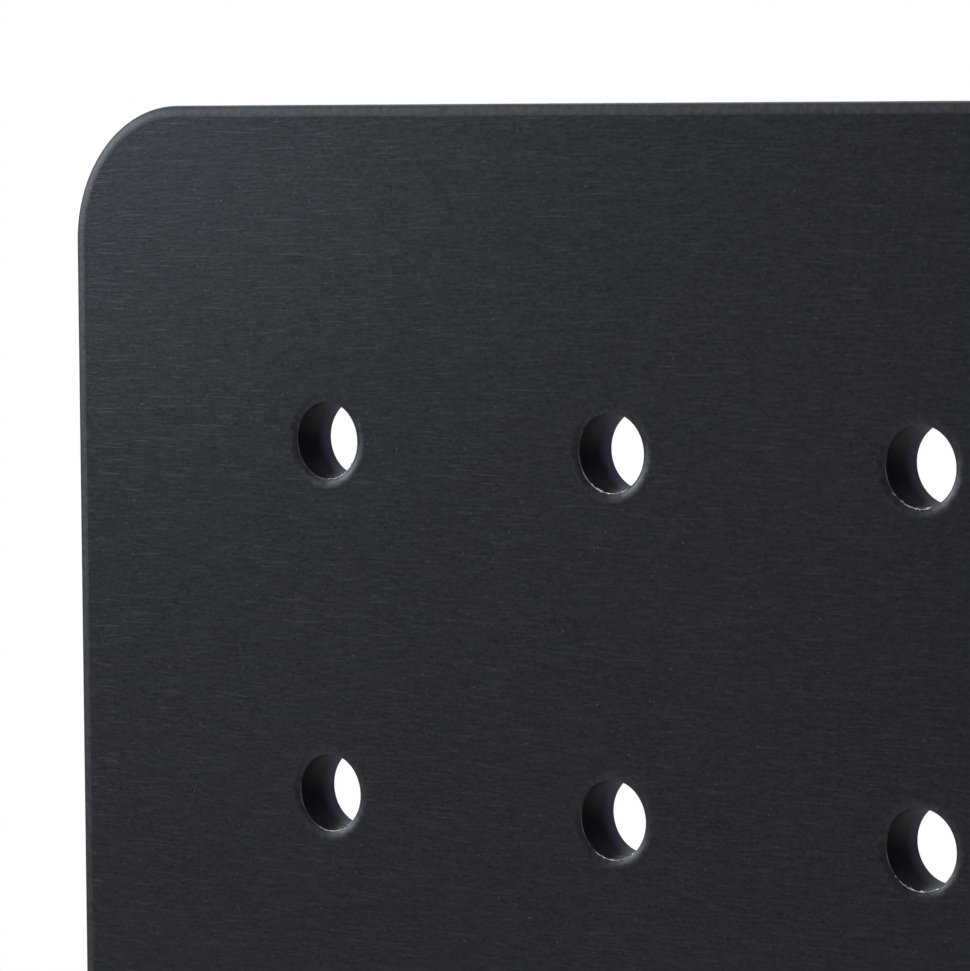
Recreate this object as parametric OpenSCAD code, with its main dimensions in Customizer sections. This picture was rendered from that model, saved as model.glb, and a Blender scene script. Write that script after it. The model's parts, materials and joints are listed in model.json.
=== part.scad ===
// Single-sided gondola shelving bay: perforated back panels on two posts, a base ring with
// levelling feet, a base deck and three shelves whose brackets hook into the panel holes.
// Millimetres. X runs to the right, Y to the rear, Z up. The origin is on the floor, at the
// middle of the unit's width and depth.

/* [Back panels] */
// Distance between the centres of neighbouring peg holes
hole_pitch = 25.4; // [25:0.1:26]
// Diameter of the peg holes
hole_d = 5.4; // [5.2:0.1:6]
// Thickness of the panel sheet
panel_t = 4; // [3:0.5:4]
// Radius of the panel corners
panel_corner_r = 10; // [4:1:14]
// Panel edge to the centre of the first hole
panel_margin = 24; // [20:0.5:24.5]
// Holes across one panel, an odd number
hole_cols = 35; // [35:2:37]
// Holes down one panel
hole_rows = 15; // [15:1:16]

/* [Frame] */
// Depth of the whole unit, price rail to rear bolt heads
unit_depth = 500; // [460:5:560]
// Width of the base ring tube, seen from above
ring_w = 50; // [46:1:54]
// Height of the base ring tube
ring_h = 60; // [50:1:70]
// Gap between the floor and the base ring
ring_clearance = 40; // [36:1:46]
// Width of a post
post_w = 40; // [36:1:44]
// Depth of a post
post_d = 30; // [28:1:34]
// Wall thickness of the posts and the ring
tube_wall = 2; // [1.5:0.5:2.5]
// Hole columns from the centre of the unit to a post
post_column = 13; // [12:1:13]

/* [Shelves] */
// Depth of a shelf
shelf_depth = 305; // [250:5:330]
// Height of a shelf's front and side folds
shelf_fold_h = 38; // [38:1:42]
// Thickness of the folded sheet metal
sheet_t = 1.2; // [1:0.1:1.5]
// Thickness of a bracket's blade
bracket_t = 3; // [2.5:0.5:4]
// Hole columns from the edge of a panel to a bracket
bracket_inset = 1; // [1:1:2]
// Height of the base deck
deck_h = 52; // [48:1:56]

/* [Feet] */
// Diameter of a foot pad
pad_d = 50; // [40:1:50]
// Diameter of a foot's threaded stud
stud_d = 10; // [8:1:10]

/* [Hidden] */
LEVELS = ["lower", "middle", "upper"];
FEET = ["front_left", "front_right", "rear_left", "rear_right"];
FRAME_NODES = [
  "base_rail_front", "base_rail_rear", "base_rail_left", "base_rail_right",
  "post_spigot_left", "post_spigot_right", "post_left", "post_right",
  "post_cap_left", "post_cap_right", "cross_rail_upper", "cross_rail_lower",
  "back_panel_lower", "back_panel_middle", "back_panel_upper",
  "panel_screws", "panel_rivet_nuts", "post_bolts", "cross_rail_bolts",
  "kick_plate", "kick_plate_screws", "foot_weld_nuts", "foot_lock_nuts"
];
DECK_NODES = ["base_deck", "deck_channels", "deck_price_rail", "deck_label_strip"];
SHELF_PARTS = [
  "shelf", "shelf_stiffener", "bracket_left", "bracket_right", "price_rail", "label_strip"
];

// Finishes
panel_black = [0.17, 0.18, 0.20];
frame_black = [0.11, 0.11, 0.12];
shelf_black = [0.14, 0.14, 0.15];
screw_black = [0.08, 0.08, 0.09];
zinc = [0.70, 0.72, 0.74];
rail_grey = [0.30, 0.31, 0.33];
label_white = [0.93, 0.93, 0.91];
pad_black = [0.06, 0.06, 0.06];

// Panel grid
panel_w = (hole_cols - 1) * hole_pitch + 2 * panel_margin;
panel_h = (hole_rows - 1) * hole_pitch + 2 * panel_margin;
panel_step = (hole_rows + 1) * hole_pitch;
panel_count = 3;
screw_rows = [1, 7, 13];

// Heights
ring_top = ring_clearance + ring_h;
deck_top = ring_top + deck_h;
panel_z = deck_top + 3.2;
panel_top = panel_z + (panel_count - 1) * panel_step + panel_h;
post_top = panel_top - 12;

// Depths, front to rear
rail_proud = 6;
bolt_head_h = 5.3;
rivet_flange_t = 0.8;
deck_front = -unit_depth / 2 + rail_proud;
ring_front = deck_front + 2;
post_back = unit_depth / 2 - bolt_head_h;
post_front = post_back - post_d;
panel_back = post_front - rivet_flange_t;
panel_front = panel_back - panel_t;
panel_mid = (panel_front + panel_back) / 2;
deck_back = panel_front - 3.2;

// Widths
post_x = post_column * hole_pitch;
bracket_x = ((hole_cols - 1) / 2 - bracket_inset) * hole_pitch;
ring_half = panel_w / 2 - 3.8;
shelf_half = panel_w / 2 - 8.3;
deck_half = panel_w / 2 - 1.8;

// Bracket hooks: a round wire bent to an arc about a pivot in the panel, above its hole
wire_r = 2.3;
hook_r = 11;
hook_gap = 0.8;
stub_rows = 3;
shelf_rows = [12, 25, 38];
blade_back = -panel_t / 2 - hook_gap;
blade_top = -0.5;
blade_h = 104;
blade_nose = 20;
tray_top = blade_top + sheet_t;
tray_back = -panel_t / 2 - 3;
tray_front = tray_back - shelf_depth;
blade_front = tray_front + 27;
blade_holes = [[-45, -66, 13], [-88, -59, 9.5], [-124, -53, 6.5]];
tab_ys = [-62, tray_front + 70];
tab_len = 12;

// Price rails
rail_wall = 1.5;
rail_lip = 5;
label_t = 0.8;

// Feet
foot_x = ring_half - ring_w / 2;
foot_inset = ring_w + 2;
foot_ys = [ring_front + foot_inset, post_back - foot_inset];
pad_top = 14;
socket_z = 5;
stud_hex_z = 25;
lock_nut_h = 6.5;
lock_gap = 0.5;
weld_nut_h = 8;
stud_top = ring_top - 20;
nut_af = 17;
thread_gap = 0.05;

// Fasteners
panel_screw_r = 2.45;
spigot_h = 92;
spigot_bolt_zs = [ring_top + 25, ring_top + 70];
cross_rail_h = 40;
cross_rail_zs = [post_top - 60, panel_z + 1.5 * panel_step];
cross_bolt_dz = 28;
end_plate_t = 3;
slot_pitch = 2 * hole_pitch;
slot_w = 5;
slot_h = 22;

function row_z(row) = panel_z + panel_margin + row * hole_pitch;
function pivot_z(level) = row_z(shelf_rows[level]) + hook_r;

// ---- Shared shapes ----

module rounded_rect(w, h, r) {
  translate([r, 0]) square([w - 2 * r, h]);
  translate([0, r]) square([w, h - 2 * r]);
  for (x = [r, w - r], y = [r, h - r]) translate([x, y]) circle(r, $fn = 64);
}

module box_tube(w, d, h, wall) {
  difference() {
    translate([-w / 2, -d / 2, 0]) cube([w, d, h]);
    translate([-w / 2 + wall, -d / 2 + wall, -1])
      cube([w - 2 * wall, d - 2 * wall, h + 2]);
  }
}

// Upright slot with round ends, centred on its nominal position
module slot_shape() {
  straight = slot_h - slot_w;
  square([slot_w, straight], center = true);
  for (y = [-straight / 2, straight / 2]) translate([0, y]) circle(d = slot_w, $fn = 32);
}

// A hexagon prism of a given width across its flats, on Z
module hex(af, h) cylinder(r = af / sqrt(3), h = h, $fn = 6);

// Extrudes a shape drawn in Y and Z along X, centred on x = 0
module along_x(length) rotate([90, 0, 90]) linear_extrude(length, center = true) children();

// Turns a fastener drawn on Z so that its head faces front or rear
module facing_front() rotate([90, 0, 0]) children();
module facing_rear() rotate([-90, 0, 0]) children();

// A hat-section channel drawn in a plane: feet up against the sheet, web below
module hat_profile(width, height, foot) {
  t = sheet_t;
  half = width / 2;
  polygon([
    [-half - foot, 0], [-half + t, 0], [-half + t, -height + t], [half - t, -height + t],
    [half - t, 0], [half + foot, 0], [half + foot, -t], [half, -t], [half, -height],
    [-half, -height], [-half, -t], [-half - foot, -t]
  ]);
}

// A tray folded from sheet and open below, its top face at z = 0 and its front edge at y = 0
module folded_tray(half, depth, fold, back_fold) {
  difference() {
    translate([-half, 0, -fold]) cube([2 * half, depth, fold]);
    translate([-half + sheet_t, sheet_t, -fold - 1])
      cube([2 * half - 2 * sheet_t, depth - 2 * sheet_t, fold + 1 - sheet_t]);
    translate([-half + sheet_t, depth - sheet_t - 1, -fold - 1])
      cube([2 * half - 2 * sheet_t, sheet_t + 2, fold - back_fold + 1]);
  }
}

// ---- Base ring ----

// Mitred tube with its outer long side on y = 0 and its body towards +Y, z = 0 at its underside
module mitred_tube(length) {
  w = ring_w;
  half = length / 2;
  module wedge(low, high, past) polygon([
    [-half + low - past, low], [half - low + past, low],
    [half - high + past, high], [-half + high - past, high]
  ]);
  difference() {
    linear_extrude(ring_h) wedge(0, w, 0);
    translate([0, 0, tube_wall])
      linear_extrude(ring_h - 2 * tube_wall) wedge(tube_wall, w - tube_wall, 1);
  }
}

module base_rail_front() color(frame_black) difference() {
  translate([0, ring_front, ring_clearance]) mitred_tube(2 * ring_half);
  for (x = kick_screw_xs) translate([x, ring_front + 5, kick_screw_z])
    facing_front() cylinder(r = 1.8, h = 10, $fn = 32);
}

module base_rail_rear() color(frame_black)
  translate([0, post_back, ring_clearance]) rotate(180) mitred_tube(2 * ring_half);

module base_rail_side(side) color(frame_black) difference() {
  translate([side * ring_half, (ring_front + post_back) / 2, ring_clearance])
    rotate(side * 90) mitred_tube(post_back - ring_front);
  for (y = foot_ys) translate([side * foot_x, y, ring_clearance - 1])
    cylinder(d = stud_d + 1, h = tube_wall + 2, $fn = 48);
}

// ---- Posts ----

module post_spigot(side) color(frame_black) difference() {
  translate([side * post_x, post_back - post_d / 2, ring_top])
    box_tube(post_w - 2 * tube_wall - 0.6, post_d - 2 * tube_wall - 0.6, spigot_h, 3);
  for (z = spigot_bolt_zs) translate([side * post_x, post_back - tube_wall - 6, z])
    facing_rear() cylinder(r = 4.05, h = 10, $fn = 48);
}

module post(side) color(frame_black) difference() {
  translate([side * post_x, post_back - post_d / 2, ring_top])
    box_tube(post_w, post_d, post_top - ring_top, tube_wall);
  for (z = spigot_bolt_zs) translate([side * post_x, post_back - tube_wall - 1, z])
    facing_rear() cylinder(r = 4.3, h = tube_wall + 2, $fn = 48);
  for (z = [ring_top + 160 : slot_pitch : post_top - 40])
    translate([side * post_x, post_back + 1, z])
      rotate([90, 0, 0]) linear_extrude(tube_wall + 2) slot_shape();
  for (p = [0 : panel_count - 1], row = screw_rows)
    translate([side * post_x, post_front + tube_wall + 1, row_z(row) + p * panel_step])
      facing_front() cylinder(r = 3.6, h = tube_wall + 2, $fn = 48);
  for (z = cross_rail_zs, dz = [-cross_bolt_dz, cross_bolt_dz])
    translate([side * (post_x - post_w / 2 + tube_wall / 2), post_back - post_d / 2, z + dz])
      rotate([0, 90, 0]) cylinder(r = 3.1, h = tube_wall + 2, center = true, $fn = 48);
}

module post_cap(side) color(pad_black)
  translate([side * post_x, post_back - post_d / 2, post_top]) {
    translate([-post_w / 2, -post_d / 2, 0]) cube([post_w, post_d, 3]);
    inner_w = post_w - 2 * tube_wall - 0.4;
    inner_d = post_d - 2 * tube_wall - 0.4;
    translate([-inner_w / 2, -inner_d / 2, -14]) cube([inner_w, inner_d, 14]);
  }

module post_bolts() color(zinc)
  for (side = [-1, 1], z = spigot_bolt_zs) translate([side * post_x, post_back, z])
    facing_rear() {
      hex(13, bolt_head_h);
      translate([0, 0, -20]) cylinder(d = 8, h = 20.5, $fn = 48);
    }

// ---- Cross rails between the posts ----

module cross_rail(z) color(frame_black)
  translate([0, post_back - post_d / 2, z]) {
    span = 2 * post_x - post_w;
    plate_d = post_d - 4;
    plate_h = 2 * cross_bolt_dz + 20;
    rotate([0, 90, 0]) translate([0, 0, -span / 2 + 1])
      box_tube(cross_rail_h, 20, span - 2, 1.5);
    for (side = [-1, 1]) difference() {
      translate([side * (span - end_plate_t) / 2, 0, 0])
        cube([end_plate_t, plate_d, plate_h], center = true);
      for (dz = [-cross_bolt_dz, cross_bolt_dz])
        translate([side * (span - end_plate_t) / 2, 0, dz])
          rotate([0, 90, 0]) cylinder(r = 3.2, h = end_plate_t + 2, center = true, $fn = 48);
      translate([side * (span - end_plate_t) / 2, 0, 0])
        rotate([0, 90, 0]) cylinder(r = 6, h = end_plate_t + 2, center = true, $fn = 48);
    }
  }

module cross_rail_bolts() color(zinc)
  for (side = [-1, 1], z = cross_rail_zs, dz = [-cross_bolt_dz, cross_bolt_dz])
    translate([side * (post_x - post_w / 2 - end_plate_t), post_back - post_d / 2, z + dz])
      rotate([0, -side * 90, 0]) {
        hex(10, 4);
        translate([0, 0, -14]) cylinder(d = 6, h = 14.5, $fn = 48);
      }

// ---- Perforated back panels ----

module back_panel(index) color(panel_black)
  translate([-panel_w / 2, panel_back, panel_z + index * panel_step])
    rotate([90, 0, 0]) linear_extrude(panel_t) difference() {
      rounded_rect(panel_w, panel_h, panel_corner_r);
      for (col = [0 : hole_cols - 1], row = [0 : hole_rows - 1])
        translate([panel_margin + col * hole_pitch, panel_margin + row * hole_pitch])
          circle(d = hole_d, $fn = 48);
    }

// Places a child at every panel screw, on the panel's front face, its Z towards the front
module at_panel_screws()
  for (side = [-1, 1], p = [0 : panel_count - 1], row = screw_rows)
    translate([side * post_x, panel_front, row_z(row) + p * panel_step])
      facing_front() children();

module panel_screws() color(screw_black) at_panel_screws() difference() {
  union() {
    cylinder(r1 = 4.75, r2 = 3.6, h = 2.7, $fn = 48);
    translate([0, 0, -16]) cylinder(r = panel_screw_r, h = 16.5, $fn = 48);
  }
  translate([0, 0, 1]) hex(3, 3);
}

module panel_rivet_nuts() color(zinc) at_panel_screws()
  translate([0, 0, -panel_t]) difference() {
    union() {
      translate([0, 0, -rivet_flange_t]) cylinder(r = 5, h = rivet_flange_t, $fn = 48);
      translate([0, 0, -13]) cylinder(r = 3.5, h = 12.5, $fn = 48);
      translate([0, 0, -rivet_flange_t - tube_wall - 3]) cylinder(r = 4.6, h = 2.6, $fn = 48);
    }
    translate([0, 0, -14]) cylinder(r = panel_screw_r + thread_gap, h = 15, $fn = 48);
  }

// ---- Kick plate ----

kick_screw_xs = [-380, -130, 130, 380];
kick_screw_z = ring_clearance + ring_h / 2;
kick_bottom = 8;

module kick_plate() color(frame_black) difference() {
  union() {
    front = ring_front - sheet_t;
    half = ring_half + sheet_t;
    height = ring_top - 1 - kick_bottom;
    translate([-half, front, kick_bottom]) cube([2 * half, sheet_t, height]);
    for (side = [-1, 1])
      translate([side > 0 ? ring_half : -half, front, kick_bottom]) cube([sheet_t, 42, height]);
    translate([-half, front, kick_bottom]) cube([2 * half, 14, sheet_t]);
  }
  for (x = kick_screw_xs) translate([x, ring_front + 5, kick_screw_z])
    facing_front() cylinder(r = 2.2, h = 10, $fn = 32);
}

module kick_plate_screws() color(screw_black)
  for (x = kick_screw_xs) translate([x, ring_front - sheet_t, kick_screw_z])
    facing_front() {
      cylinder(r1 = 4.2, r2 = 3, h = 2.2, $fn = 48);
      translate([0, 0, -10]) cylinder(r = 1.75, h = 10.5, $fn = 32);
    }

// ---- Price rails, for the deck and every shelf ----

// Profile in Y and Z: its back is on y = 0, it faces -Y, and its lower edge is on z = 0
module price_rail_profile() difference() {
  translate([-rail_proud, 0]) square([rail_proud, shelf_fold_h]);
  translate([-rail_proud + rail_wall, rail_wall])
    square([rail_proud - 2 * rail_wall, shelf_fold_h - 2 * rail_wall]);
  translate([-rail_proud - 1, rail_lip])
    square([rail_wall + 2, shelf_fold_h - 2 * rail_lip]);
}

module price_rail(half, y, top) color(rail_grey)
  translate([0, y, top - shelf_fold_h]) along_x(2 * half - 6) price_rail_profile();

module label_strip(half, y, top) color(label_white)
  translate([0, y - rail_proud + rail_wall + 0.1, top - shelf_fold_h + rail_wall + 0.2])
    along_x(2 * half - 10) square([label_t, shelf_fold_h - 2 * rail_wall - 0.4]);

// ---- Base deck ----

module base_deck() color(shelf_black) translate([0, deck_front, deck_top])
  folded_tray(deck_half, deck_back - deck_front, deck_h, deck_h);

module deck_channels() color(shelf_black)
  for (x = [-300, 0, 300])
    translate([x, (deck_front + deck_back) / 2, deck_top - sheet_t])
      rotate([90, 0, 0])
        linear_extrude(deck_back - deck_front - 6 * sheet_t, center = true)
          hat_profile(60, deck_h - sheet_t, 14);

// ---- Shelves: everything below is drawn about the bracket's pivot line ----

module at_level(level) translate([0, panel_mid, pivot_z(level)]) children();

module blade_profile() polygon([
  [blade_back, blade_top], [blade_back, -blade_h], [blade_back - 16, -blade_h],
  [blade_front, -blade_nose - 4], [blade_front, -4], [blade_front + 4, blade_top]
]);

module bracket(side, level) color(shelf_black) at_level(level)
  translate([side * bracket_x, 0, 0]) {
    rotate([90, 0, 90]) linear_extrude(bracket_t, center = true) difference() {
      blade_profile();
      for (hole = blade_holes) translate([hole[0], hole[1]]) circle(r = hole[2], $fn = 64);
    }
    // Wire that goes through the panel and turns up behind it
    rotate([90, 0, 90]) rotate(225) rotate_extrude(angle = 125, $fn = 96)
      translate([hook_r, 0]) circle(r = wire_r, $fn = 32);
    // Stub in a lower hole
    translate([0, 1.9, -hook_r - stub_rows * hole_pitch])
      rotate([90, 0, 0]) cylinder(r = wire_r, h = 12, $fn = 48);
    // Tabs that stand in the tray's slots
    for (y = tab_ys) translate([-bracket_t / 2, y, blade_top - 2])
      cube([bracket_t, tab_len, sheet_t + 2]);
  }

module shelf(level) color(shelf_black) at_level(level) difference() {
  translate([0, tray_front, tray_top]) folded_tray(shelf_half, shelf_depth, shelf_fold_h, 20);
  for (side = [-1, 1]) {
    for (y = tab_ys) translate([side * bracket_x - bracket_t / 2 - 0.3, y - 0.3, -5])
      cube([bracket_t + 0.6, tab_len + 0.6, 10]);
    translate([side * bracket_x - 3.4, tray_back - 3, -30]) cube([6.8, 6, 30 + blade_top]);
  }
}

module shelf_stiffener(level) color(shelf_black) at_level(level)
  translate([0, (tray_front + tray_back) / 2, blade_top])
    along_x(2 * bracket_x - 24) hat_profile(50, 16, 14);

// ---- Levelling feet ----

module at_foot(foot)
  translate([foot % 2 == 0 ? -foot_x : foot_x, foot_ys[foot < 2 ? 0 : 1], 0]) children();

module foot_pad(foot) color(pad_black) at_foot(foot) difference() {
  union() {
    cylinder(d = pad_d, h = 5, $fn = 96);
    translate([0, 0, 5]) cylinder(r1 = pad_d / 2 - 2, r2 = 10, h = pad_top - 5, $fn = 96);
  }
  translate([0, 0, socket_z]) cylinder(d = stud_d + 2, h = pad_top, $fn = 48);
}

module foot_stud(foot) color(zinc) at_foot(foot) {
  translate([0, 0, socket_z]) cylinder(d = stud_d + 1.8, h = pad_top - socket_z - 1, $fn = 48);
  translate([0, 0, socket_z + 1]) cylinder(d = stud_d, h = stud_top - socket_z - 2, $fn = 48);
  translate([0, 0, stud_top - 1]) cylinder(d1 = stud_d, d2 = stud_d - 2, h = 1, $fn = 48);
  translate([0, 0, stud_hex_z])
    hex(14, ring_clearance - lock_nut_h - lock_gap - stud_hex_z);
}

module foot_nuts(z, h) color(zinc) for (foot = [0 : 3]) at_foot(foot)
  translate([0, 0, z]) difference() {
    hex(nut_af, h);
    translate([0, 0, -1]) cylinder(d = stud_d + 2 * thread_gap, h = h + 2, $fn = 48);
  }

// ---- Drawing ----

base_rail_front();
base_rail_rear();
base_rail_side(-1);  // base_rail_left
base_rail_side(1);  // base_rail_right
post_spigot(-1);  // post_spigot_left
post_spigot(1);  // post_spigot_right
post(-1);  // post_left
post(1);  // post_right
post_cap(-1);  // post_cap_left
post_cap(1);  // post_cap_right
cross_rail(cross_rail_zs[0]);  // cross_rail_upper
cross_rail(cross_rail_zs[1]);  // cross_rail_lower
panel_screws();
panel_rivet_nuts();
post_bolts();
cross_rail_bolts();
kick_plate();
kick_plate_screws();
foot_nuts(ring_clearance + tube_wall, weld_nut_h);  // foot_weld_nuts
foot_nuts(ring_clearance - lock_nut_h, lock_nut_h);  // foot_lock_nuts
base_deck();
deck_channels();
price_rail(deck_half, deck_front, deck_top);  // deck_price_rail
label_strip(deck_half, deck_front, deck_top);  // deck_label_strip

for (i = [0 : 2]) {
  name = LEVELS[i];
  back_panel(i);
  shelf(i);
  shelf_stiffener(i);
  bracket(-1, i);
  bracket(1, i);
  at_level(i) price_rail(shelf_half, tray_front, tray_top);
  at_level(i) label_strip(shelf_half, tray_front, tray_top);
}

for (i = [0 : 3]) {
  foot_pad(i);
  foot_stud(i);
}
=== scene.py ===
import json
import math
import random

import bmesh
import bpy
from mathutils import Matrix, Vector


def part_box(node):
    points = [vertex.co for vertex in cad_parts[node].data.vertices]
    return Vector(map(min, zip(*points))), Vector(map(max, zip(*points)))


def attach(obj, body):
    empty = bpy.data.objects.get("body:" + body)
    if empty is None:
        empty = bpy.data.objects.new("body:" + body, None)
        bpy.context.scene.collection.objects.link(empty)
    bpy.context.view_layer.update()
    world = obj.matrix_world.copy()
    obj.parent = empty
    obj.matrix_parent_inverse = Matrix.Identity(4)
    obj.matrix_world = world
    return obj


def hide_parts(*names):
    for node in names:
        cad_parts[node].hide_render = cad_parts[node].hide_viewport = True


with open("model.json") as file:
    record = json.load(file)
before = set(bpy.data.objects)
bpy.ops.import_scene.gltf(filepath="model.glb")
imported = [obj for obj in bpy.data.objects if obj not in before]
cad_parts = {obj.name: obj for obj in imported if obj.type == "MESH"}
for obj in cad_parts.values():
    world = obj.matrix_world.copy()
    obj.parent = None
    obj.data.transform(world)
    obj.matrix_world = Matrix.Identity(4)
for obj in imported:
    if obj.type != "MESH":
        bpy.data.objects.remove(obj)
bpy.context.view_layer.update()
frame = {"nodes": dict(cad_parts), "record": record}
nodes = frame["nodes"]
bodies = frame["record"]["behaviour"]["bodies"]
bodyOf = {node: body for body, members in bodies.items() for node in members}
scene = bpy.context.scene
scene.view_settings.view_transform = "Standard"
mm = 0.001


# camera

closeView = {
    "lens": 196.0,
    "fromCorner": (0.266446, -0.290368, 0.000613),  # from the upper panel's upper left corner
    "forward": (-0.61590, 0.78436, -0.07368),
    "right": (0.78660, 0.61742, -0.00764),
}


def addCamera():
    low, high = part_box("back_panel_upper")
    corner = Vector((low.x, low.y, high.z))
    forward = Vector(closeView["forward"]).normalized()
    right = Vector(closeView["right"])
    right = (right - forward * right.dot(forward)).normalized()
    up = right.cross(forward)
    turn = Matrix((right, up, -forward)).transposed()
    data = bpy.data.cameras.new("closeView")
    data.lens = closeView["lens"]
    data.sensor_width = 36
    data.clip_start = 0.01
    camera = bpy.data.objects.new("closeView", data)
    place = Matrix.Translation(corner + Vector(closeView["fromCorner"]))
    camera.matrix_world = place @ turn.to_4x4()
    scene.collection.objects.link(camera)
    scene.camera = camera


# floor, sky and lights

studio = {
    "floorRadius": 7.0,
    "skySeen": (1.0, 1.0, 1.0, 1.0),  # white behind the object
    "skyFront": (0.140, 0.139, 0.142),  # what the object reflects
    "skyRear": (0.10, 0.11, 0.17),
    "skyLeft": (0.22, 0.22, 0.23),
    "skyTop": (0.95, 0.95, 0.97),
}
lamps = {
    # name: place, aimed at, side length, watts, colour
    "keyLamp": ((-1.75, -0.71, 1.60), (-0.42, 0.21, 1.34), 0.3, 7.6, (0.87, 0.96, 1.0)),
    "fillLamp": ((2.6, -3.0, 2.2), (0.0, 0.0, 0.8), 2.2, 45, (1.0, 0.99, 0.95)),
    "topLamp": ((-1.8, -0.4, 3.5), (0.0, 0.0, 0.9), 2.2, 42, (1.0, 1.0, 0.98)),
    "rearLamp": ((-2.4, 2.7, 2.35), (-0.2, 0.2, 1.0), 1.1, 16, (0.96, 0.97, 1.0)),
}


class Wire:  # an output of a node, which can be used in sums
    def __init__(self, finish, socket):
        self.finish = finish
        self.socket = socket

    def maths(self, operation, first, second):
        return self.finish.node("ShaderNodeMath", {"operation": operation}, [first, second])

    def __add__(self, other):
        return self.maths("ADD", self, other)

    def __radd__(self, other):
        return self.maths("ADD", other, self)

    def __sub__(self, other):
        return self.maths("SUBTRACT", self, other)

    def __rsub__(self, other):
        return self.maths("SUBTRACT", other, self)

    def __mul__(self, other):
        return self.maths("MULTIPLY", self, other)

    def __rmul__(self, other):
        return self.maths("MULTIPLY", other, self)

    def between(self, low, high):  # 0 below low, 1 above high, smooth in between
        settings = {"interpolation_type": "SMOOTHSTEP"}
        return self.finish.node("ShaderNodeMapRange", settings, [self, low, high, 0.0, 1.0])


class Finish:  # a material and its nodes
    def __init__(self, name, holder=None):
        if holder is None:
            holder = bpy.data.materials.new(name)
        holder.use_nodes = True
        self.holder = holder
        self.tree = holder.node_tree
        self.tree.nodes.clear()

    def node(self, kind, settings=None, inputs=(), output=0):
        made = self.tree.nodes.new(kind)
        for name, value in (settings or {}).items():
            setattr(made, name, value)
        pairs = inputs.items() if isinstance(inputs, dict) else enumerate(inputs)
        for name, value in pairs:
            socket = made.inputs[name]
            if isinstance(value, Wire):
                self.tree.links.new(value.socket, socket)
            else:
                socket.default_value = value
        return Wire(self, made.outputs[output] if made.outputs else None)

    def mixed(self, amount, first, second):
        settings = {"data_type": "RGBA"}
        return self.node("ShaderNodeMix", settings, {0: amount, 6: first, 7: second}, 2)

    def stretched(self, scale):
        place = self.node("ShaderNodeTexCoord", output="Object")
        return self.node("ShaderNodeMapping", {}, {"Vector": place, "Scale": scale})

    def noise(self, scale, detail=2.0, rough=0.5):
        spread = self.stretched(scale)
        inputs = {"Vector": spread, "Scale": 1.0, "Detail": detail, "Roughness": rough}
        return self.node("ShaderNodeTexNoise", {}, inputs)

    def bump(self, height, strength, distance):
        inputs = {"Height": height, "Strength": strength, "Distance": distance}
        return self.node("ShaderNodeBump", {}, inputs)

    def surface(self, **inputs):
        named = {name.replace("_", " "): value for name, value in inputs.items()}
        shader = self.node("ShaderNodeBsdfPrincipled", {}, named)
        self.node("ShaderNodeOutputMaterial", {}, {"Surface": shader})
        return self.holder


def shade(red, green, blue):
    return (red, green, blue, 1.0)


def addFloor():
    bm = bmesh.new()
    bmesh.ops.create_circle(bm, cap_ends=True, segments=96, radius=studio["floorRadius"])
    mesh = bpy.data.meshes.new("floor")
    bm.to_mesh(mesh)
    bm.free()
    pale = Finish("paleFloor")
    cloud = pale.noise((1.5, 1.5, 1.5), 3.0)
    mesh.materials.append(pale.surface(
        Base_Color=pale.mixed(cloud, shade(0.80, 0.80, 0.80), shade(0.84, 0.84, 0.84)),
        Roughness=0.75))
    floor = bpy.data.objects.new("floor", mesh)
    scene.collection.objects.link(floor)


def addSky():
    world = bpy.data.worlds.new("whiteRoom")
    scene.world = world
    sky = Finish("whiteRoom", world)
    place = sky.node("ShaderNodeTexCoord", output="Generated")
    x, y, z = [sky.node("ShaderNodeSeparateXYZ", {}, [place], axis) for axis in "XYZ"]
    room = sky.mixed(y.between(-0.35, 0.35), shade(*studio["skyFront"]), shade(*studio["skyRear"]))
    sides = sky.mixed((y * 0.4 - x).between(0.45, 1.0), room, shade(*studio["skyLeft"]))
    colour = sky.mixed(z.between(0.30, 0.95), sides, shade(*studio["skyTop"]))
    lit = sky.node("ShaderNodeBackground", {}, {"Color": colour})
    seen = sky.node("ShaderNodeBackground", {}, {"Color": studio["skySeen"]})
    direct = sky.node("ShaderNodeLightPath", output="Is Camera Ray")
    both = sky.node("ShaderNodeMixShader", {}, [direct, lit, seen])
    sky.node("ShaderNodeOutputWorld", {}, {"Surface": both})


def addLamps():
    for name, (place, target, side, watts, colour) in lamps.items():
        data = bpy.data.lights.new(name, "AREA")
        data.size = side
        data.energy = watts
        data.color = colour
        lamp = bpy.data.objects.new(name, data)
        aim = Vector(target) - Vector(place)
        lamp.location = place
        lamp.rotation_euler = aim.to_track_quat("-Z", "Y").to_euler()
        scene.collection.objects.link(lamp)


# finishes

def brushedBlack():
    look = Finish("brushedBlack")
    grain = look.noise((760, 760, 6800), 3.0, 0.65)
    mottle = look.noise((2600, 2600, 4600), 2.0, 0.6)
    cloud = look.noise((35, 35, 60), 2.0)
    scratch = look.noise((330, 330, 6200), 2.0).between(0.60, 0.72)
    speck = look.noise((5200, 5200, 5200), 0.0).between(0.80, 0.90)
    pit = look.noise((4600, 4600, 5600), 0.0).between(0.24, 0.14)
    tone = grain * 0.5 + mottle * 0.4 + cloud * 0.1 - pit * 0.5
    base = look.mixed(tone.between(0.25, 0.75), shade(0.0238, 0.0256, 0.0304),
                      shade(0.0440, 0.0472, 0.0555))
    worn = look.mixed(scratch * 0.12, base, shade(0.12, 0.124, 0.136))
    flecked = look.mixed(speck * 0.16, worn, shade(0.30, 0.31, 0.33))
    return look.surface(
        Base_Color=flecked, Metallic=0.85, Roughness=0.265 + mottle * 0.11,
        Normal=look.bump(grain + mottle * 0.7 + scratch * 0.4, 0.32, 0.000026))


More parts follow.
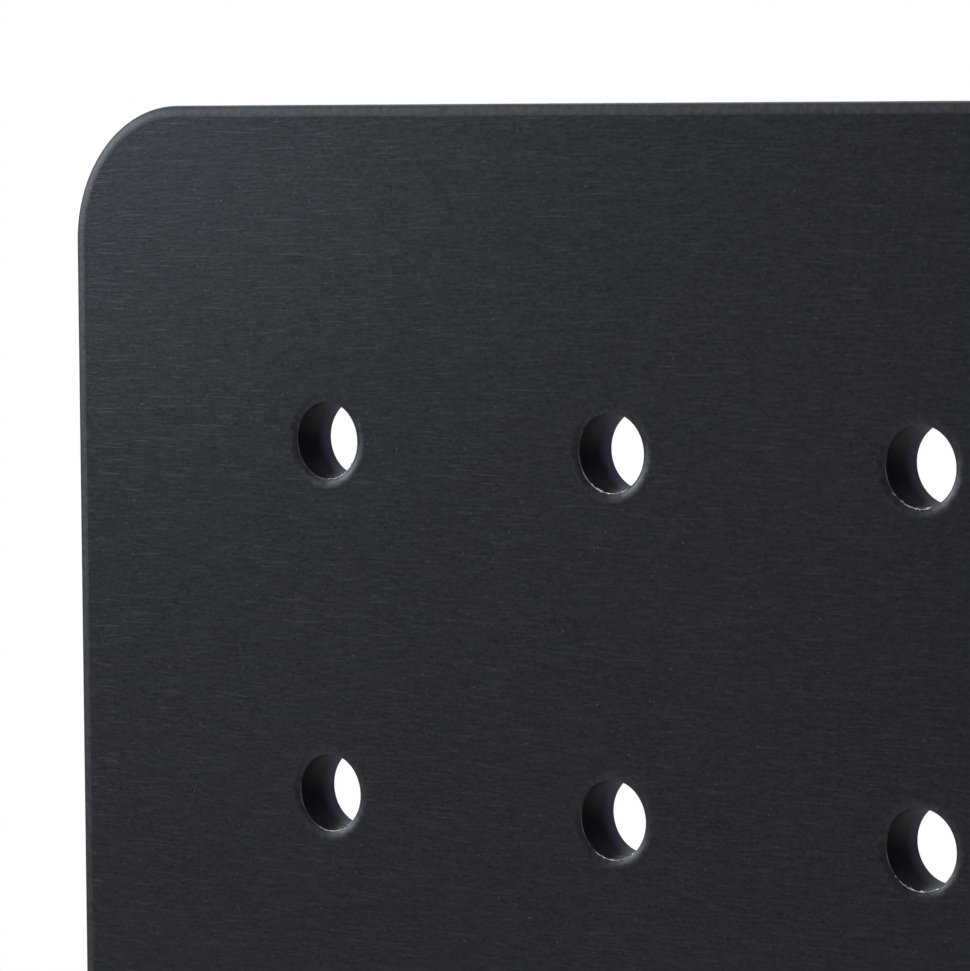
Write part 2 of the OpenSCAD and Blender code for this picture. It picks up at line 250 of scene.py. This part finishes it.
def wornRim(name, low, high, rough):  # rolled edges, where the black is rubbed thin
    look = Finish(name)
    bite = look.noise((2100, 2100, 2100), 3.0, 0.65)
    warm = look.noise((300, 300, 300), 2.0).between(0.54, 0.70)
    tone = look.mixed(warm, shade(high, high, high * 1.08), shade(high * 1.12, high, high * 0.94))
    return look.surface(
        Base_Color=look.mixed(bite.between(0.25, 0.75), shade(low, low * 1.04, low * 1.2), tone),
        Metallic=1.0, Roughness=rough + bite * 0.10, Normal=look.bump(bite, 0.35, 0.00004))


def bareMetal():  # burrs left by the punch
    look = Finish("bareMetal")
    fine = look.noise((3000, 3000, 3000), 2.0)
    return look.surface(
        Base_Color=look.mixed(fine, shade(0.45, 0.44, 0.42), shade(0.80, 0.79, 0.77)),
        Metallic=1.0, Roughness=0.25 + fine * 0.15)


def boreBlackPaintedShading():  # painted shade and light in a hole: near-black towards the front, and a lighter bluish band towards the rear that stands in for light coming through from behind
    look = Finish("boreBlackPaintedShading")
    drag = look.noise((1500, 250, 1500), 2.0)
    place = look.node("ShaderNodeTexCoord", output="Object")
    # 1 towards the rear face of the panel, where the painted light from behind goes
    rear = look.node("ShaderNodeSeparateXYZ", {}, [place], "Y").between(0.2121, 0.2137)
    # painted shade (near-black) and painted light from behind (lighter, bluish), not colours of the
    # coat itself
    paintedBoreShade = look.mixed(drag, shade(0.0018, 0.002, 0.003), shade(0.005, 0.0055, 0.008))
    paintedRearLight = look.mixed(drag, shade(0.045, 0.050, 0.090), shade(0.075, 0.080, 0.125))
    return look.surface(
        Base_Color=look.mixed(rear, paintedBoreShade, paintedRearLight), Metallic=0.0, Roughness=0.6,
        Specular_IOR_Level=0.12, Normal=look.bump(drag, 0.3, 0.00005))


def powderBlack():  # textured powder coat on the posts and the ring
    look = Finish("powderBlack")
    orange = look.noise((1300, 1300, 1300), 2.0, 0.55)
    cloud = look.noise((14, 14, 14), 3.0)
    tone = orange * 0.6 + cloud * 0.4
    return look.surface(
        Base_Color=look.mixed(tone, shade(0.014, 0.0145, 0.016), shade(0.034, 0.035, 0.038)),
        Roughness=0.46 + cloud * 0.16, Normal=look.bump(orange, 0.35, 0.00012))


def satinBlack():  # smoother coat on the shelves and the deck
    look = Finish("satinBlack")
    peel = look.noise((420, 420, 420), 2.0, 0.5)
    cloud = look.noise((9, 9, 9), 3.0, 0.6)
    rub = look.noise((60, 900, 60), 2.0).between(0.60, 0.78) * cloud.between(0.45, 0.7)
    coat = look.mixed(peel * 0.5 + cloud * 0.5, shade(0.016, 0.0165, 0.018),
                      shade(0.030, 0.031, 0.034))
    return look.surface(
        Base_Color=look.mixed(rub * 0.5, coat, shade(0.06, 0.061, 0.064)),
        Roughness=0.34 + cloud * 0.10 + rub * 0.14, Normal=look.bump(peel, 0.12, 0.0001))


def rubbedEdge():  # coat worn along the edges
    look = Finish("rubbedEdge")
    chip = look.noise((150, 150, 150), 4.0, 0.65).between(0.56, 0.66)
    fine = look.noise((1500, 1500, 1500), 2.0)
    coat = look.mixed(fine, shade(0.020, 0.021, 0.023), shade(0.045, 0.046, 0.050))
    return look.surface(
        Base_Color=look.mixed(chip * 0.8, coat, shade(0.20, 0.20, 0.205)),
        Metallic=chip * 0.8, Roughness=0.42 - chip * 0.08, Normal=look.bump(fine, 0.2, 0.00008))


def blackOxide():
    look = Finish("blackOxide")
    fine = look.noise((1800, 1800, 1800), 2.0)
    stain = look.noise((260, 260, 260), 2.0)
    return look.surface(
        Base_Color=look.mixed(stain, shade(0.016, 0.016, 0.018), shade(0.055, 0.052, 0.050)),
        Metallic=0.75, Roughness=0.30 + fine * 0.22, Normal=look.bump(fine, 0.2, 0.00006))


def zincPlate():
    look = Finish("zincPlate")
    bloom = look.noise((170, 170, 170), 3.0, 0.6)
    fine = look.noise((2400, 2400, 500), 1.0)
    return look.surface(
        Base_Color=look.mixed(bloom, shade(0.42, 0.44, 0.47), shade(0.66, 0.65, 0.60)),
        Metallic=1.0, Roughness=0.26 + bloom * 0.16, Normal=look.bump(fine, 0.12, 0.00005))


def extrudedGrey():  # plastic price rails, with fine draw lines along them
    look = Finish("extrudedGrey")
    drawn = look.noise((2, 1600, 1600), 1.0)
    cloud = look.noise((30, 30, 30), 2.0)
    return look.surface(
        Base_Color=look.mixed(cloud, shade(0.27, 0.275, 0.285), shade(0.33, 0.335, 0.345)),
        Roughness=0.24 + drawn * 0.10, Normal=look.bump(drawn, 0.15, 0.00005))


def labelCard():
    look = Finish("labelCard")
    fibre = look.noise((700, 2600, 2600), 3.0, 0.6)
    cloud = look.noise((40, 40, 40), 2.0)
    return look.surface(
        Base_Color=look.mixed(fibre * 0.6 + cloud * 0.4, shade(0.74, 0.735, 0.72),
                              shade(0.86, 0.86, 0.85)),
        Roughness=0.50 + fibre * 0.15, Normal=look.bump(fibre, 0.12, 0.00004))


def mouldedBlack():  # feet and caps
    look = Finish("mouldedBlack")
    grain = look.noise((1700, 1700, 1700), 1.0, 0.5)
    cloud = look.noise((60, 60, 60), 2.0)
    return look.surface(
        Base_Color=look.mixed(cloud, shade(0.013, 0.013, 0.014), shade(0.026, 0.026, 0.027)),
        Roughness=0.44 + grain * 0.14, Normal=look.bump(grain, 0.3, 0.00007))


# back panels

panelShape = {
    "pitch": 25.4 * mm,
    "margin": 24.0 * mm,
    "cols": 35,
    "rows": 15,
    "holeRadius": 2.76 * mm,
    "holeEdge": (0.08 * mm, 0.66 * mm, 17),  # lip radius, then width and slope of the dip
    "outerEdge": (0.16 * mm, 0.70 * mm, 13),
    "backRoll": 0.15 * mm,
    "cornerRadius": 10 * mm,
    "cornerSteps": 24,
    "edgeSteps": (5, 6),  # of the outer edge: in its lip, in its dip
}
plainHole = {"around": 20, "lipSteps": 1, "dipSteps": 2}
fineHole = {"around": 80, "lipSteps": 3, "dipSteps": 6}


def rolledSteps(edge, lipSteps, dipSteps):
    # steps (across, up) from the wall onto the face: a tight lip, then a shallow dip that fades out
    lip, width, slope = edge
    steps = []
    turn = (90 - slope) / lipSteps
    for i in range(lipSteps):
        steep = math.radians(90 - turn * i)
        flat = math.radians(90 - turn * (i + 1))
        steps.append((lip * (math.sin(steep) - math.sin(flat)),
                      lip * (math.cos(flat) - math.cos(steep))))
    for i in range(dipSteps):
        fall = math.radians(slope * (1 - (i + 0.5) / dipSteps))
        steps.append((width / dipSteps, width / dipSteps * math.tan(fall)))
    return steps


def holePlace(low, high, col, row, y):
    shape = panelShape
    return Matrix.Translation((low.x + shape["margin"] + col * shape["pitch"], y,
                               high.z - shape["margin"] - row * shape["pitch"]))


def holeWall(thick, detail):
    shape = panelShape
    bm = bmesh.new()
    steps = rolledSteps(shape["holeEdge"], detail["lipSteps"], detail["dipSteps"])
    radius = shape["holeRadius"]
    depth = -thick / 2 + sum(up for across, up in steps)
    section = [(radius + shape["backRoll"], thick / 2), (radius, thick / 2 - shape["backRoll"]),
               (radius, depth)]
    for across, up in steps:
        radius += across
        depth -= up
        section.append((radius, depth))
    lipRear = section[2][1]
    lipFront = section[2 + detail["lipSteps"]][1]
    points = [bm.verts.new((x, y, 0)) for x, y in section]
    lines = [bm.edges.new(pair) for pair in zip(points, points[1:])]
    bmesh.ops.spin(bm, geom=points + lines, cent=(0, 0, 0), axis=(0, 1, 0), dvec=(0, 0, 0),
                   angle=math.tau, steps=detail["around"], use_merge=True, use_duplicate=False)
    for face in bm.faces:
        face.smooth = True
        y = face.calc_center_median().y
        face.material_index = 2 if y > lipRear else 1 if y > lipFront else 4
    mesh = bpy.data.meshes.new("holeWall")
    bm.to_mesh(mesh)
    bm.free()
    return mesh


def roundedSlab(low, high):
    # a flat plate across y with round corners and rolled edges, its two faces left open
    shape = panelShape
    bm = bmesh.new()
    bmesh.ops.create_grid(bm, x_segments=1, y_segments=1, size=0.5,
                          matrix=Matrix.Rotation(math.pi / 2, 4, "X"))
    bmesh.ops.scale(bm, vec=(high.x - low.x, 1, high.z - low.z), verts=bm.verts)
    bmesh.ops.translate(bm, verts=bm.verts,
                        vec=((low.x + high.x) / 2, low.y, (low.z + high.z) / 2))
    bmesh.ops.bevel(bm, geom=bm.verts[:], offset=shape["cornerRadius"],
                    segments=shape["cornerSteps"], profile=0.5, affect="VERTICES", material=-1,
                    offset_type="OFFSET")
    steps = rolledSteps(shape["outerEdge"], *shape["edgeSteps"])
    drop = sum(up for across, up in steps)
    backRoll = shape["backRoll"]
    made = bmesh.ops.extrude_face_region(bm, geom=bm.faces[:], use_keep_orig=True)["geom"]
    rear = [item for item in made if isinstance(item, bmesh.types.BMVert)]
    front = [vert for vert in bm.verts if vert not in rear]
    bmesh.ops.translate(bm, vec=(0, high.y - low.y - backRoll, 0), verts=rear)
    bmesh.ops.translate(bm, vec=(0, drop, 0), verts=front)
    bmesh.ops.recalc_face_normals(bm, faces=bm.faces)
    caps = [face for face in bm.faces if len(face.verts) > 4]
    middle = (low.y + high.y) / 2
    for cap in caps:
        rolls = steps if cap.calc_center_median().y < middle else [(backRoll, backRoll)]
        for across, up in rolls:
            bmesh.ops.inset_region(bm, faces=[cap], thickness=across, depth=up,
                                   use_even_offset=True, use_boundary=True)
    for face in bm.faces:
        face.smooth = True
        face.material_index = 3
    bmesh.ops.delete(bm, geom=caps, context="FACES_ONLY")
    return bm


def backPanel(node, fineHoles):
    shape = panelShape
    low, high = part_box(node)
    thick = high.y - low.y
    bm = roundedSlab(low, high)
    plain = holeWall(thick, plainHole)
    fine = holeWall(thick, fineHole)
    for col in range(shape["cols"]):
        for row in range(shape["rows"]):
            wall = fine if (col, row) in fineHoles else plain
            place = holePlace(low, high, col, row, (low.y + high.y) / 2)
            wall.transform(place)
            bm.from_mesh(wall)
            wall.transform(place.inverted())
    for y in (low.y, high.y):  # both faces fill in round the holes
        loose = [edge for edge in bm.edges
                 if edge.is_boundary and abs(edge.verts[0].co.y - y) < 0.01 * mm]
        made = bmesh.ops.triangle_fill(bm, use_beauty=True, use_dissolve=False, edges=loose)
        for item in made["geom"]:
            if isinstance(item, bmesh.types.BMFace):
                item.material_index = 0
                item.smooth = False
    bmesh.ops.recalc_face_normals(bm, faces=bm.faces)
    print(node, len(bm.faces), "faces, open edges:", sum(edge.is_boundary for edge in bm.edges))
    looks = [brushed, rimmed, bored, edged, dipped]  # face, lip, bore, outer edge, dip
    return addPiece("panel_" + node.split("_")[-1], bm, looks, [node])


punchBurrs = {
    # column and row of a hole: where a curl lies along its lip, in degrees
    "curls": {(0, 0): (282, 312), (1, 0): (205, 300), (2, 0): (242, 285), (0, 1): (248, 322),
              (1, 1): (238, 318), (2, 1): (232, 300), (3, 0): (220, 260), (3, 1): (255, 300)},
    "curlSize": 0.022 * mm,
    "chips": 9,
    "chipLength": (0.10, 0.34),  # in mm, as are the next two
    "grainSize": (0.025, 0.06),
    "proud": (-0.02, 0.08),  # over the lip
    "grains": 7,
    "spread": 22,  # degrees either side of a curl's middle
    "ragged": 0.45,
    "seed": 7,
}


def burrs(node, name):
    # curls and chips left along the lower lip of the holes near the corner
    shape = panelShape
    low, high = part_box(node)
    steps = rolledSteps(shape["holeEdge"], fineHole["lipSteps"], fineHole["dipSteps"])
    drop = sum(up for across, up in steps[fineHole["lipSteps"]:])
    lip = shape["holeRadius"] + 0.8 * shape["holeEdge"][0]
    rng = random.Random(punchBurrs["seed"])
    bm = bmesh.new()
    for (col, row), (start, end) in punchBurrs["curls"].items():
        centre = holePlace(low, high, col, row, low.y + drop)
        size = punchBurrs["curlSize"]
        curl = bmesh.new()
        bmesh.ops.create_circle(curl, cap_ends=True, segments=5, radius=size)
        bmesh.ops.translate(curl, verts=curl.verts, vec=(lip - size, 0, 0))
        bmesh.ops.rotate(curl, verts=curl.verts, cent=(0, 0, 0),
                         matrix=Matrix.Rotation(math.radians(-start), 3, "Y"))
        bmesh.ops.spin(curl, geom=curl.verts[:] + curl.edges[:] + curl.faces[:], cent=(0, 0, 0),
                       axis=(0, -1, 0), dvec=(0, 0, 0), angle=math.radians(end - start),
                       steps=22, use_duplicate=False)
        for vert in curl.verts:
            vert.co += Vector([rng.uniform(-1, 1) for i in range(3)]) * size * punchBurrs["ragged"]
        bmesh.ops.recalc_face_normals(curl, faces=curl.faces)
        addTo(bm, curl, centre)
        for i in range(punchBurrs["chips"] + punchBurrs["grains"]):
            bit = bmesh.new()
            if i < punchBurrs["chips"]:
                length = rng.uniform(*punchBurrs["chipLength"]) * mm
                bmesh.ops.create_cone(bit, cap_ends=True, segments=5, radius1=0.16 * length,
                                      radius2=0.03 * length, depth=length)
            else:
                bmesh.ops.create_icosphere(bit, subdivisions=1,
                                           radius=rng.uniform(*punchBurrs["grainSize"]) * mm)
            angle = math.radians(rng.gauss((start + end) / 2, punchBurrs["spread"]))
            lean = Matrix.Rotation(rng.uniform(-0.5, 0.5), 4, "X")
            around = Matrix.Rotation(-angle, 4, "Y")
            out = Matrix.Translation((lip - rng.uniform(*punchBurrs["proud"]) * mm,
                                      rng.uniform(-0.05, 0.10) * mm, 0))
            addTo(bm, bit, centre @ around @ out @ lean)
    return addPiece(name, bm, [burred], [node], hides=False)


def addPiece(name, bm, materials, replaced, hides=True):
    mesh = bpy.data.meshes.new(name)
    bm.to_mesh(mesh)
    bm.free()
    for material in materials:
        mesh.materials.append(material)
    piece = bpy.data.objects.new(name, mesh)
    scene.collection.objects.link(piece)
    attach(piece, bodyOf[replaced[0]])
    if hides:
        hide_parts(*replaced)
    return piece


# finished copies of the rolled, folded and turned parts

softening = {
    "sameVert": 0.002 * mm,
    "sameFace": 0.5,  # degrees; faces that differ by less are one flat side
    "crease": 38,  # edges that bend by more look sharp
    "foldSteps": 4,
    "foldWidth": 2.5,  # a fold's two sides are at least this many sheets wide
    "insideTube": 0.4,  # radius inside a tube, as a share of the one outside
}


def merged(node):  # a copy of the part as whole faces
    bm = bmesh.new()
    bm.from_mesh(nodes[node].data)
    bmesh.ops.remove_doubles(bm, verts=bm.verts, dist=softening["sameVert"])
    bmesh.ops.dissolve_limit(bm, angle_limit=math.radians(softening["sameFace"]), verts=bm.verts,
                             edges=bm.edges, use_dissolve_boundaries=False, delimit={"NORMAL"})
    bmesh.ops.recalc_face_normals(bm, faces=bm.faces)
    return bm


def sharpEdges(bm, degrees=30):
    limit = math.radians(degrees)
    return [edge for edge in bm.edges if edge.is_manifold and edge.calc_face_angle() > limit]


def soften(bm, edges, size, steps):
    edges = [edge for edge in edges if edge.is_valid]
    if not edges:
        return []
    made = bmesh.ops.bevel(bm, geom=edges, offset=size, offset_type="OFFSET", segments=steps,
                           profile=0.5, affect="EDGES", material=-1, clamp_overlap=False)["faces"]
    flat = bm.faces.layers.int.get("flat")
    if flat:
        for face in made:
            face[flat] = 0
    return made


def isFold(edge, sheet):  # both faces at the edge are wider than the sheet is thick
    length = edge.calc_length()
    least = softening["foldWidth"] * sheet
    return all(face.calc_area() / length > least for face in edge.link_faces)


def isLevel(face):  # a whole flat side, with no edge that bends gently into a curve
    bends = [edge.calc_face_angle() for edge in face.edges if edge.is_manifold]
    least, most = math.radians(softening["sameFace"]), math.radians(softening["crease"])
    return not any(least < bend < most for bend in bends)


def smoothed(bm, level=(), degrees=softening["crease"]):
    limit = math.radians(degrees)
    for face in bm.faces:
        face.smooth = True
    for face in level:
        face.smooth = False
    for edge in bm.edges:
        edge.smooth = not edge.is_manifold or edge.calc_face_angle() < limit


def finished(node, looks, sheet=0.0, fold=0.0, rim=0.25, tube=0.0, longest=150.0, steps=2):
    # in mm: sheet is the thickness of folded sheet and fold its inside radius,
    # tube the radius on edges over the length longest, rim what is left on every other edge
    bm = merged(node)
    flat = bm.faces.layers.int.new("flat")
    for face in bm.faces:
        face[flat] = isLevel(face)
    worn = []
    if sheet:
        folds = [edge for edge in sharpEdges(bm) if isFold(edge, sheet * mm)]
        outer = [edge for edge in folds if edge.is_convex]
        inner = [edge for edge in folds if not edge.is_convex]
        worn += soften(bm, outer, (fold + sheet) * mm, softening["foldSteps"])
        soften(bm, inner, fold * mm, softening["foldSteps"])
    if tube:
        long = [edge for edge in sharpEdges(bm) if edge.calc_length() > longest * mm]
        inner = [edge for edge in long if not edge.is_convex]
        outer = [edge for edge in long if edge.is_convex]
        worn += soften(bm, outer, tube * mm, softening["foldSteps"])
        soften(bm, inner, softening["insideTube"] * tube * mm, 2)
    if rim:
        worn += soften(bm, sharpEdges(bm, 50), rim * mm, steps)
    for face in worn:
        if face.is_valid:
            face.material_index = len(looks) - 1
    low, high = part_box(node)
    for vert in bm.verts:  # corners of softened edges stay inside the part
        vert.co = [min(max(vert.co[i], low[i]), high[i]) for i in range(3)]
    flat = bm.faces.layers.int["flat"]
    smoothed(bm, [face for face in bm.faces if face[flat]])
    bm.faces.layers.int.remove(flat)
    gaps = sum(not edge.is_manifold for edge in bm.edges)
    if gaps:
        print("  open edges on", node, gaps)
    return addPiece(node.replace("_", "-"), bm, looks, [node])


# levelling feet: threaded studs

footStud = {
    "shank": 10.0 * mm,
    "pitch": 1.5 * mm,
    "threadDepth": 0.75 * mm,
    "around": 24,
    "ball": (11.8 * mm, 8.0 * mm),  # width and height of the end in the pad
    "hex": (14.0 * mm, 20.0 * mm, 28.0 * mm),  # across flats, from and to above the foot's end
    "hexChamfer": 0.6 * mm,
    "ballEdge": 0.8 * mm,
    "overlap": 0.5 * mm,  # the thread starts inside the ball and the hexagon
    "crease": 32,
    # one turn of the thread: which radius, and how far up the turn
    "profile": (("root", 0), ("root", 0.12), ("outer", 0.45), ("outer", 0.55), ("root", 0.88),
                ("root", 1)),
}


def threadedRod(bm, centre, bottom, top):
    # one turn of the thread's section, wound up the rod and cut level at both ends
    stud = footStud
    radius = {"outer": stud["shank"] / 2, "root": stud["shank"] / 2 - stud["threadDepth"]}
    pitch = stud["pitch"]
    turns = math.ceil((top - bottom) / pitch) + 3
    start = bottom - 1.5 * pitch
    rod = bmesh.new()
    points = [rod.verts.new((radius[at], 0, start + z * pitch)) for at, z in stud["profile"]]
    lines = [rod.edges.new(pair) for pair in zip(points, points[1:])]
    bmesh.ops.spin(rod, geom=points + lines, cent=(0, 0, 0), axis=(0, 0, 1),
                   dvec=(0, 0, pitch / stud["around"]), angle=math.tau * turns,
                   steps=stud["around"] * turns, use_duplicate=False)
    bmesh.ops.remove_doubles(rod, verts=rod.verts, dist=1e-6)
    for height, side in ((bottom, -1), (top, 1)):
        everything = rod.verts[:] + rod.edges[:] + rod.faces[:]
        bmesh.ops.bisect_plane(rod, geom=everything, dist=1e-7, plane_co=(0, 0, height),
                               plane_no=(0, 0, side), clear_outer=True)
    bmesh.ops.holes_fill(rod, edges=[edge for edge in rod.edges if edge.is_boundary], sides=0)
    bmesh.ops.recalc_face_normals(rod, faces=rod.faces)
    addTo(bm, rod, Matrix.Translation((centre.x, centre.y, 0)))


def addTo(bm, part, place):  # puts a finished part into a bigger one
    mesh = bpy.data.meshes.new("part")
    part.to_mesh(mesh)
    part.free()
    mesh.transform(place)
    bm.from_mesh(mesh)
    bpy.data.meshes.remove(mesh)


def turned(bm, section, around, place):  # spins (radius, height) points round the z axis
    part = bmesh.new()
    points = [part.verts.new((x, 0, z)) for x, z in section]
    lines = [part.edges.new(pair) for pair in zip(points, points[1:])]
    bmesh.ops.spin(part, geom=points + lines, cent=(0, 0, 0), axis=(0, 0, 1), dvec=(0, 0, 0),
                   angle=math.tau, steps=around, use_merge=True, use_duplicate=False)
    bmesh.ops.remove_doubles(part, verts=part.verts, dist=1e-6)
    bmesh.ops.recalc_face_normals(part, faces=part.faces)
    addTo(bm, part, place)


def hexagon(bm, flats, bottom, top, chamfer, place):
    part = bmesh.new()
    bmesh.ops.create_circle(part, cap_ends=True, segments=6, radius=flats / math.sqrt(3))
    made = bmesh.ops.extrude_face_region(part, geom=part.faces[:], use_keep_orig=True)["geom"]
    upper = [item for item in made if isinstance(item, bmesh.types.BMVert)]
    bmesh.ops.translate(part, vec=(0, 0, top - bottom), verts=upper)
    bmesh.ops.translate(part, vec=(0, 0, bottom), verts=part.verts)
    bmesh.ops.recalc_face_normals(part, faces=part.faces)
    soften(part, sharpEdges(part), chamfer, 2)
    addTo(bm, part, place)


def levellingStud(node, looks):
    stud = footStud
    low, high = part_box(node)
    centre = (low + high) / 2
    place = Matrix.Translation((centre.x, centre.y, 0))
    bm = bmesh.new()
    width, height = stud["ball"]
    flats, hexFrom, hexTo = stud["hex"]
    soft = stud["ballEdge"]
    inside = stud["overlap"]
    turned(bm, [(0, low.z), (width / 2 - soft, low.z), (width / 2 - soft * 0.3, low.z + soft * 0.3),
                (width / 2, low.z + soft), (width / 2, low.z + height - soft),
                (width / 2 - soft * 0.3, low.z + height - soft * 0.3),
                (width / 2 - soft, low.z + height), (0, low.z + height)], 40, place)
    threadedRod(bm, centre, low.z + height - inside, low.z + hexFrom + inside)
    hexagon(bm, flats, low.z + hexFrom, low.z + hexTo, stud["hexChamfer"], place)
    threadedRod(bm, centre, low.z + hexTo - inside, high.z)
    smoothed(bm, degrees=stud["crease"])
    return addPiece(node.replace("_", "-"), bm, looks, [node])


addCamera()
addFloor()
addSky()
addLamps()
print("studio ready")

brushed = brushedBlack()
rimmed = wornRim("wornRim", 0.036, 0.085, 0.28)
edged = wornRim("wornEdge", 0.040, 0.062, 0.36)
dipped = wornRim("wornDip", 0.032, 0.058, 0.32)
burred = bareMetal()
bored = boreBlackPaintedShading()
nearCorner = {(col, row) for col in range(4) for row in range(3)}
backPanel("back_panel_upper", nearCorner)
backPanel("back_panel_middle", set())
backPanel("back_panel_lower", set())
burrs("back_panel_upper", "punch-burrs")
print("panels done")

powder = powderBlack()
satin = satinBlack()
rubbed = rubbedEdge()
oxide = blackOxide()
zinc = zincPlate()
greyPlastic = extrudedGrey()
card = labelCard()
blackPlastic = mouldedBlack()

sides = ("left", "right")
shelves = ("lower", "middle", "upper")
feet = [end + "_" + side for end in ("front", "rear") for side in sides]

for end in ("front", "rear", "left", "right"):
    finished("base_rail_" + end, [powder, rubbed], tube=3.0, rim=0.3)
for side in sides:
    finished("post_spigot_" + side, [powder, rubbed], rim=0.3)
    finished("post_" + side, [powder, rubbed], tube=3.0, rim=0.2)
    finished("post_cap_" + side, [blackPlastic], rim=1.2, steps=4)
for level in ("upper", "lower"):
    finished("cross_rail_" + level, [powder, rubbed], tube=2.0, rim=0.3)
for node in ("panel_screws", "post_bolts", "cross_rail_bolts", "kick_plate_screws"):
    finished(node, [oxide], rim=0.35)
for node in ("panel_rivet_nuts", "foot_weld_nuts", "foot_lock_nuts"):
    finished(node, [zinc], rim=0.35)
finished("kick_plate", [powder, rubbed], sheet=1.2, fold=0.8, rim=0.2)
print("frame done")

finished("base_deck", [satin, rubbed], sheet=1.2, fold=0.8, rim=0.2)
finished("deck_channels", [powder], sheet=1.5, fold=1.0, rim=0.2)
finished("deck_price_rail", [greyPlastic], rim=0.35)
finished("deck_label_strip", [card], rim=0.12)
for level in shelves:
    finished("shelf_" + level, [satin, rubbed], sheet=1.0, fold=0.8, rim=0.2)
    finished("shelf_stiffener_" + level, [satin], sheet=1.2, fold=0.8, rim=0.2)
    finished("price_rail_" + level, [greyPlastic], rim=0.35)
    finished("label_strip_" + level, [card], rim=0.12)
    for side in sides:
        finished("bracket_" + side + "_" + level, [satin, rubbed], rim=0.3)
print("shelves done")

for foot in feet:
    finished("foot_pad_" + foot, [blackPlastic], rim=0.8, steps=3)
    levellingStud("foot_stud_" + foot, [zinc])
print("feet done")
